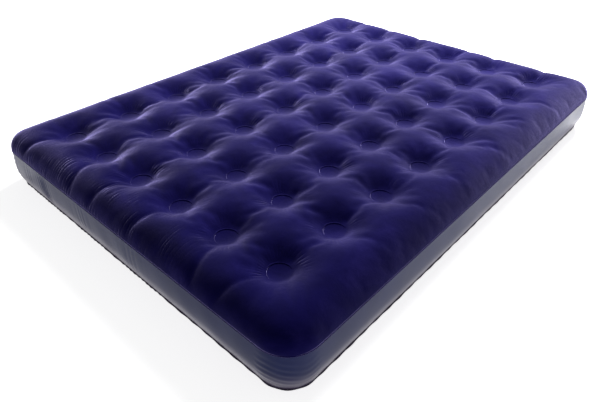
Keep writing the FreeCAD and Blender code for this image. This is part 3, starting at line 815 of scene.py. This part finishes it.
def film_material():
    """Satin navy PVC, with a painted reflection of the floor: paler towards the floor."""
    material, tree, shader = new_material("pvc_film")
    place = object_place(tree)
    colour = ramp(tree, noise(tree, place, 9.0, 3.0), [
        (0.3, (0.007, 0.012, 0.058)), (0.7, (0.011, 0.017, 0.074))])
    split = tree.nodes.new("ShaderNodeSeparateXYZ")
    tree.links.new(place, split.inputs["Vector"])
    # painted reflection of the white floor: the base colour is blended towards pale mauve near the
    # floor, fading out by 10 cm up
    foot = maths(tree, "SUBTRACT", 1.0, step_up(tree, split.outputs["Z"], 0.0, 0.10))
    colour = blend_colours(tree, maths(tree, "MULTIPLY", foot, 0.8), colour,
                           (0.085, 0.066, 0.105))
    tree.links.new(colour, shader.inputs["Base Color"])
    tree.links.new(spread(tree, noise(tree, place, 7.0, 2.0), 0.28, 0.33),
                   shader.inputs["Roughness"])
    shader.inputs["IOR"].default_value = 1.5
    shader.inputs["Specular IOR Level"].default_value = 0.12
    shader.inputs["Specular Tint"].default_value = (0.55, 0.58, 1.0, 1.0)
    shader.inputs["Sheen Weight"].default_value = 0.05
    shader.inputs["Sheen Roughness"].default_value = 0.35
    shader.inputs["Sheen Tint"].default_value = (0.95, 0.80, 1.0, 1.0)
    bump(tree, shader, noise(tree, place, 1400.0, 2.0), 0.12, 0.0003)
    return material


def base_material():
    """Matt embossed PVC of the underside."""
    material, tree, shader = new_material("pvc_base")
    place = object_place(tree)
    colour = ramp(tree, noise(tree, place, 12.0, 3.0), [
        (0.3, (0.020, 0.022, 0.055)), (0.7, (0.030, 0.033, 0.075))])
    tree.links.new(colour, shader.inputs["Base Color"])
    shader.inputs["Roughness"].default_value = 0.5
    cells = tree.nodes.new("ShaderNodeTexVoronoi")
    cells.inputs["Scale"].default_value = 450.0
    tree.links.new(place, cells.inputs["Vector"])
    bump(tree, shader, cells.outputs["Distance"], 0.4, 0.0006)
    return material


def plain_material(name, dark, light, roughness, grain):
    """Moulded plastic or rubber with a fine grain."""
    material, tree, shader = new_material(name)
    place = object_place(tree)
    colour = ramp(tree, noise(tree, place, 60.0, 3.0), [(0.3, dark), (0.7, light)])
    tree.links.new(colour, shader.inputs["Base Color"])
    tree.links.new(spread(tree, noise(tree, place, 220.0, 3.0), roughness - 0.06,
                          roughness + 0.08), shader.inputs["Roughness"])
    shader.inputs["Specular IOR Level"].default_value = 0.35
    bump(tree, shader, noise(tree, place, grain, 3.0), 0.2, 0.0002)
    return material


FLOCK = flock_material()
PVC = film_material()
PVC_BASE = base_material()
SOFT = plain_material("soft_pvc", (0.008, 0.009, 0.030), (0.012, 0.014, 0.042), 0.42, 900.0)
RIGID = plain_material("rigid_plastic", (0.014, 0.016, 0.040), (0.020, 0.023, 0.052), 0.34, 1500.0)
SEAL = plain_material("silicone", (0.042, 0.044, 0.052), (0.056, 0.058, 0.068), 0.5, 1100.0)
COIL_PVC = plain_material("coil_pvc", (0.020, 0.022, 0.060), (0.030, 0.033, 0.080), 0.45, 300.0)


def paint(obj, material):
    """One material over the whole piece."""
    obj.data.materials.clear()
    obj.data.materials.append(material)


# ---------------------------------------------------------------- putting it together
top_sheet, top_surface = make_top_sheet()
paint(top_sheet, FLOCK)
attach(top_sheet, MATTRESS)
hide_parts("top_sheet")

side_wall = make_side_wall()
paint(side_wall, PVC)
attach(side_wall, MATTRESS)
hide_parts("side_wall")

seam_welt = make_seam_welt(top_surface)
paint(seam_welt, FLOCK)
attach(seam_welt, MATTRESS)

weld_rings = make_weld_rings()
paint(weld_rings, FLOCK)
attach(weld_rings, MATTRESS)

bottom_sheet = make_bottom_sheet()
paint(bottom_sheet, PVC_BASE)
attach(bottom_sheet, MATTRESS)
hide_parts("bottom_sheet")

for coil in COILS:
    paint(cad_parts[coil], COIL_PVC)
for node, material in (("valve_base", SOFT), ("cap_strap", SOFT), ("valve_insert", RIGID),
                       ("valve_cap", RIGID), ("valve_washer", SEAL), ("check_flap", SEAL)):
    paint(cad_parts[node], material)


# ---------------------------------------------------------------- floor, light and camera
def make_floor():
    """A plain white floor."""
    size, level = 30.0, -0.0005
    corners = [(-size, -size, level), (size, -size, level),
               (size, size, level), (-size, size, level)]
    floor = make_object("floor", corners, [(0, 1, 2, 3)])
    material, tree, shader = new_material("floor_white")
    shader.inputs["Base Color"].default_value = (0.92, 0.92, 0.92, 1.0)
    shader.inputs["Roughness"].default_value = 0.9
    shader.inputs["Emission Color"].default_value = (1.0, 1.0, 1.0, 1.0)
    shader.inputs["Emission Strength"].default_value = 0.78
    paint(floor, material)


def area_light(name, place, target, size, power):
    """A soft square light aimed at a point."""
    lamp = bpy.data.lights.new(name, "AREA")
    lamp.shape = "SQUARE"
    lamp.size = size
    lamp.energy = power
    obj = bpy.data.objects.new(name, lamp)
    obj.location = place
    way = Vector(target) - Vector(place)
    obj.rotation_euler = way.to_track_quat("-Z", "Y").to_euler()
    bpy.context.scene.collection.objects.link(obj)


def make_light():
    """Dim white surroundings, and a large soft light above and behind the head end."""
    world = bpy.data.worlds.new("studio")
    world.use_nodes = True
    world.node_tree.nodes["Background"].inputs["Color"].default_value = (1, 1, 1, 1)
    world.node_tree.nodes["Background"].inputs["Strength"].default_value = 0.20
    bpy.context.scene.world = world
    area_light("back_soft", (-0.60, 2.1, 1.9), (-0.1, 0.3, 0.1), 2.2, 285)


def make_camera():
    """The camera, which looks down over the foot end's right corner."""
    turn = math.radians(42.42)
    rise = math.radians(36.41)
    distance = 1.813
    target = Vector((0.283, -0.458, 0.10))
    back = Vector((math.sin(turn) * math.cos(rise), -math.cos(turn) * math.cos(rise),
                   math.sin(rise)))
    data = bpy.data.cameras.new("camera")
    data.sensor_width = 36.0
    data.lens = 31.27
    data.clip_start = 0.05
    camera = bpy.data.objects.new("camera", data)
    camera.location = target + back * distance
    camera.rotation_euler = back.to_track_quat("Z", "Y").to_euler()
    bpy.context.scene.collection.objects.link(camera)
    bpy.context.scene.camera = camera


make_floor()
make_light()
make_camera()
bpy.context.scene.view_settings.view_transform = "Standard"
